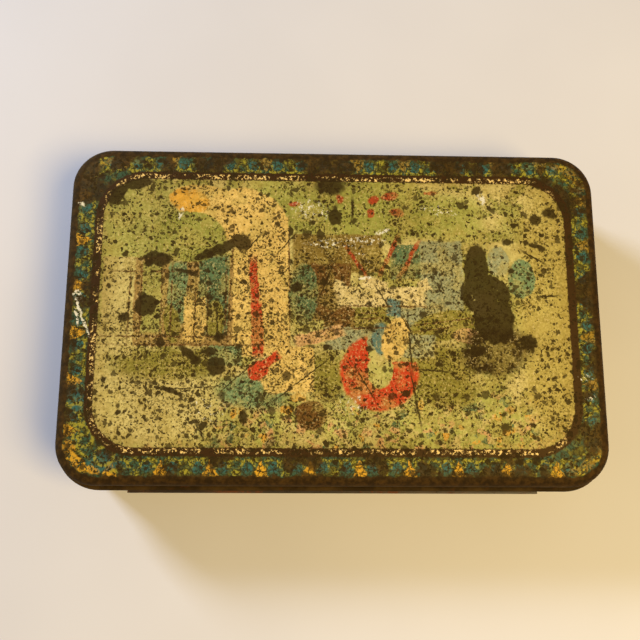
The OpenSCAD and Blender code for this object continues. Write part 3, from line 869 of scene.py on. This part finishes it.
def cut_boxes(piece, boxes):
    """Cuts boxes, given in millimetres as (low, high), out of a closed piece."""
    bm = bmesh.new()
    for low, high in boxes:
        low, high = Vector(low), Vector(high)
        size = high - low
        place = Matrix.Translation((low + high) / 2) @ Matrix.Diagonal(size.to_4d())
        bmesh.ops.create_cube(bm, size=1, matrix=place)
    cutter = finished(bm, "cutter", [])
    change = piece.modifiers.new("cut", "BOOLEAN")
    change.operation = "DIFFERENCE"
    change.solver = "EXACT"
    change.object = cutter
    shown = piece.evaluated_get(bpy.context.evaluated_depsgraph_get())
    cut = bpy.data.meshes.new_from_object(shown)
    piece.modifiers.clear()
    old = piece.data
    piece.data = cut
    bpy.data.meshes.remove(old)
    bpy.data.objects.remove(cutter, do_unlink=True)


# The dents in the lid's top: x, y, radius, depth
DENTS = [
    (-86, 30, 16, 0.35), (48, -38, 20, 0.4), (20, 52, 14, 0.3), (96, 22, 15, 0.3),
    (-30, -50, 18, 0.3), (-4, 4, 26, 0.25),
]
# The waves in it: length, height, and where each starts in the noise
WAVES = [(42, 0.35, 3.1), (14, 0.12, 7.7)]
STIFF_RIM = 3
RIM_FADE = 14


def sag(x, y):
    """How far the old lid's top is out of flat at a point. Its rim stays true."""
    inside = min(LID_HALF_W - abs(x), LID_HALF_D - abs(y))
    hold = min(1.0, max(0.0, (inside - STIFF_RIM) / RIM_FADE))
    depth = sum(
        height * noise.noise(Vector((x / length, y / length, start)))
        for length, height, start in WAVES
    )
    for cx, cy, radius, deep in DENTS:
        away = math.hypot(x - cx, y - cy) / radius
        depth -= deep * math.exp(-3 * away * away)
    return hold * depth


TOP_RINGS = 5
EDGE_STEPS = 8
CURL_STEPS = 18
SKIRT_RINGS = [38.5, 36.5, 35]
NOTCH_SIDE_GAP = 0.5
NOTCH_BACK = 3
NOTCH_BELOW = 3
NOTCH_ABOVE = 2
OUTSIDE, INSIDE = 0, 1


def lid_outside(flat, hem_x):
    """The outer profile from the top's flat out and down to the end of the hem's curl."""
    tuck = math.degrees(math.acos(-WIRE_R / HEM_R))
    profile = [(flat * j / TOP_RINGS, LID_TOP) for j in range(TOP_RINGS)]
    profile += arc(flat, LID_TOP - EDGE_R, EDGE_R, 90, 0, EDGE_STEPS)
    profile += [(CORNER_R, z) for z in SKIRT_RINGS]
    return profile + arc(hem_x, HEM_Z, HEM_R, tuck, -180, CURL_STEPS)


def lid_inside(flat):
    """The inner profile, from the skirt up and in along the underside of the top."""
    profile = [(CORNER_R - SHEET, z) for z in reversed(SKIRT_RINGS)]
    profile += arc(flat, LID_TOP - EDGE_R, EDGE_R - SHEET, 0, 90, EDGE_STEPS)
    under = LID_TOP - SHEET
    return profile + [(flat * j / TOP_RINGS, under) for j in reversed(range(TOP_RINGS))]


def hinge_notches():
    """The boxes cut out of the hem where the hinge straps curl round the wire."""
    boxes = []
    for side in ("left", "right"):
        low, high = size_mm("hinge_strap_" + side)
        boxes.append((
            (low.x - NOTCH_SIDE_GAP, LID_HALF_D - 2 * SHEET, HEM_Z - NOTCH_BELOW),
            (high.x + NOTCH_SIDE_GAP, high.y + NOTCH_BACK, HEM_Z + NOTCH_ABOVE),
        ))
    return boxes


def lid_shell():
    """The lid as one folded sheet: top, rolled edge, skirt and the hem round the wire."""
    long_steps, short_steps, corner_steps = 84, 48, 14
    rim = rounded_outline(LID_HALF_W, LID_HALF_D, CORNER_R, long_steps, short_steps, corner_steps)
    flat = CORNER_R - EDGE_R
    outside = lid_outside(flat, CORNER_R - SHEET + HEM_R)
    inside = lid_inside(flat)
    slots = [OUTSIDE] * (len(outside) - 1) + [INSIDE] * len(inside)
    bm = bmesh.new()
    add_sweep(bm, rim, outside + inside, slots, closed=False)
    core_x, core_y = LID_HALF_W - CORNER_R, LID_HALF_D - CORNER_R
    add_plate(bm, core_x, core_y, LID_TOP, long_steps, short_steps, OUTSIDE)
    add_plate(bm, core_x, core_y, LID_TOP - SHEET, long_steps, short_steps, INSIDE)
    for vert in bm.verts:
        if vert.co.z > LID_TOP - EDGE_R - SHEET:
            vert.co.z += sag(vert.co.x, vert.co.y)
    piece = finished(bm, "lid_sheet", [printed_tin(), LID_INSIDE])
    cut_boxes(piece, hinge_notches())
    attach(piece, "lid")
    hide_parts("lid_shell")


CAKE_CORNER = 3.5
CAKE_EDGE = 0.9
CAKE_ROUGH = 0.18


def worn_cake(number, material):
    """A pressed cake with the hollow that wet brushes have worn in it."""
    node = f"cake_{number}"
    low, high = size_mm(node)
    centre = (low + high) / 2
    half_w, half_d = (high.x - low.x) / 2, (high.y - low.y) / 2
    steps, corner_steps = 14, 5
    luck = random.Random(number)
    hollow_x, hollow_y = luck.uniform(-4, 4), luck.uniform(-4, 4)
    deep, wide = luck.uniform(0.8, 3.4), luck.uniform(6.5, 10)
    rim = rounded_outline(half_w, half_d, CAKE_CORNER, steps, steps, corner_steps)
    shoulder = high.z - CAKE_EDGE
    profile = [(0, low.z), (CAKE_CORNER, low.z), (CAKE_CORNER, shoulder)]
    profile += arc(CAKE_CORNER - CAKE_EDGE, shoulder, CAKE_EDGE, 0, 90, 3)[1:] + [(0, high.z)]
    bm = bmesh.new()
    add_sweep(bm, rim, profile, [0] * len(profile), closed=False)
    for z in (low.z, high.z):
        add_plate(bm, half_w - CAKE_CORNER, half_d - CAKE_CORNER, z, steps, steps, 0)
    for vert in bm.verts:
        if vert.co.z > high.z - 0.5:
            away = math.hypot(vert.co.x - hollow_x, vert.co.y - hollow_y) / wide
            vert.co.z -= deep * math.exp(-2.2 * away * away)
            lumps = noise.noise(Vector((vert.co.x / 3, vert.co.y / 3, number)))
            vert.co.z += CAKE_ROUGH * lumps
            vert.co.z = min(vert.co.z, high.z)
        vert.co.x += centre.x
        vert.co.y += centre.y
    piece = finished(bm, f"worn_{node}", [material], 60)
    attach(piece, "box")
    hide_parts(node)


def table():
    """A plain pale table, 3 m wide."""
    bm = bmesh.new()
    bmesh.ops.create_grid(bm, x_segments=8, y_segments=8, size=1500)
    floor = finished(bm, "table", [table_top()])


def soft_light(name, place, aim, size, power, colour):
    """An area light, in metres, pointed at a spot."""
    data = bpy.data.lights.new(name, "AREA")
    data.size = size
    data.energy = power
    data.color = colour
    lamp = bpy.data.objects.new(name, data)
    lamp.location = place
    lamp.rotation_euler = (Vector(aim) - Vector(place)).to_track_quat("-Z", "Y").to_euler()
    bpy.context.collection.objects.link(lamp)


# The camera's place in lid widths from the middle of the lid's top, its axes, and its lens
EYE_PLACE = (-0.071, -0.3155, 1.453)
EYE_BACK = (-0.0305, -0.2078, 0.9777)
EYE_ACROSS = (0.9995, 0.0032, 0.0319)
LENS = 45.3
LENS_SHIFT = (-0.002, -0.008)


def camera():
    """Almost straight above the front edge, as in the photograph."""
    data = bpy.data.cameras.new("camera")
    data.sensor_width = 36
    data.lens = LENS
    data.shift_x, data.shift_y = LENS_SHIFT
    data.clip_start = 0.01
    eye = bpy.data.objects.new("camera", data)
    back = Vector(EYE_BACK).normalized()
    across = Vector(EYE_ACROSS)
    across = (across - across.dot(back) * back).normalized()
    up = back.cross(across)
    rotation = Matrix((across, up, back)).transposed()
    place = Vector(EYE_PLACE) * 2 * LID_HALF_W * MM + Vector((0, 0, LID_TOP * MM))
    eye.matrix_world = Matrix.Translation(place) @ rotation.to_4x4()
    bpy.context.collection.objects.link(eye)
    bpy.context.scene.camera = eye


def room_light(colour, strength):
    """An even light from all round."""
    world = bpy.data.worlds.new("studio")
    bpy.context.scene.world = world
    world.use_nodes = True
    background = world.node_tree.nodes["Background"]
    background.inputs["Color"].default_value = colour
    background.inputs["Strength"].default_value = strength


# ---------- the object ----------

LID_INSIDE = old_enamel("lid_inside", rgb(214, 204, 174), rgb(176, 158, 116), 0.45)
lid_shell()

brown = rusted_sheet("brown_japan", rgb(44, 30, 16), rgb(74, 54, 30), rgb(96, 54, 24))
rusty = rusted_sheet("rusted_tin", rgb(40, 26, 13), rgb(70, 46, 24), rgb(104, 58, 26))
steel = rusted_sheet("dull_steel", rgb(74, 64, 52), rgb(118, 106, 90), rgb(96, 56, 28), 0.7)
cream_enamel = old_enamel("cream_enamel", rgb(222, 212, 180), rgb(196, 180, 138), 0.25)
white_enamel = old_enamel("white_enamel", rgb(232, 228, 214), rgb(214, 204, 178), 0.5)
pan_white = old_enamel("pan_enamel", rgb(226, 222, 206), rgb(198, 190, 166), 0.2)
NODE_LOOKS = {
    "lid_wire": steel, "thumb_lip": rusty, "body_wall": brown, "bottom_panel": rusty,
    "hinge_strap_left": steel, "hinge_strap_right": steel, "hinge_rivets": steel,
    "tray": cream_enamel, "trough_divider": cream_enamel, "pan_rack": cream_enamel,
    "mixing_palette": white_enamel,
}
wood, brass, hair = lacquered_wood(), tarnished_brass(), brush_hair()
for number in (1, 2):
    NODE_LOOKS[f"brush_handle_{number}"] = wood
    NODE_LOOKS[f"brush_ferrule_{number}"] = brass
    NODE_LOOKS[f"brush_hair_{number}"] = hair
slot_of = {part["node"]: part["material_slot"] for part in frame["record"]["subparts"]}
tint_of = {m["slot"]: tuple(m["base_color"][:3]) + (1.0,) for m in frame["record"]["materials"]}
for number in range(1, 13):
    NODE_LOOKS[f"pan_{number}"] = pan_white
    slot = slot_of[f"cake_{number}"]
    worn_cake(number, paint_cake(slot + "_cake", tint_of[slot]))
for node, material in NODE_LOOKS.items():
    shown = frame["nodes"][node]
    shown.data.materials.clear()
    shown.data.materials.append(material)

table()
camera()
soft_light("cool_window", (-1.20, 0.98, 0.92), (0, 0, 0), 0.38, 24.6, (0.70, 0.81, 1.0))
soft_light("warm_lamp", (0.44, -0.30, 0.88), (0.12, -0.08, 0), 0.42, 8.2, (1.0, 0.76, 0.31))
room_light((0.96, 0.95, 1.0, 1), 0.17)
bpy.context.scene.view_settings.view_transform = "Standard"
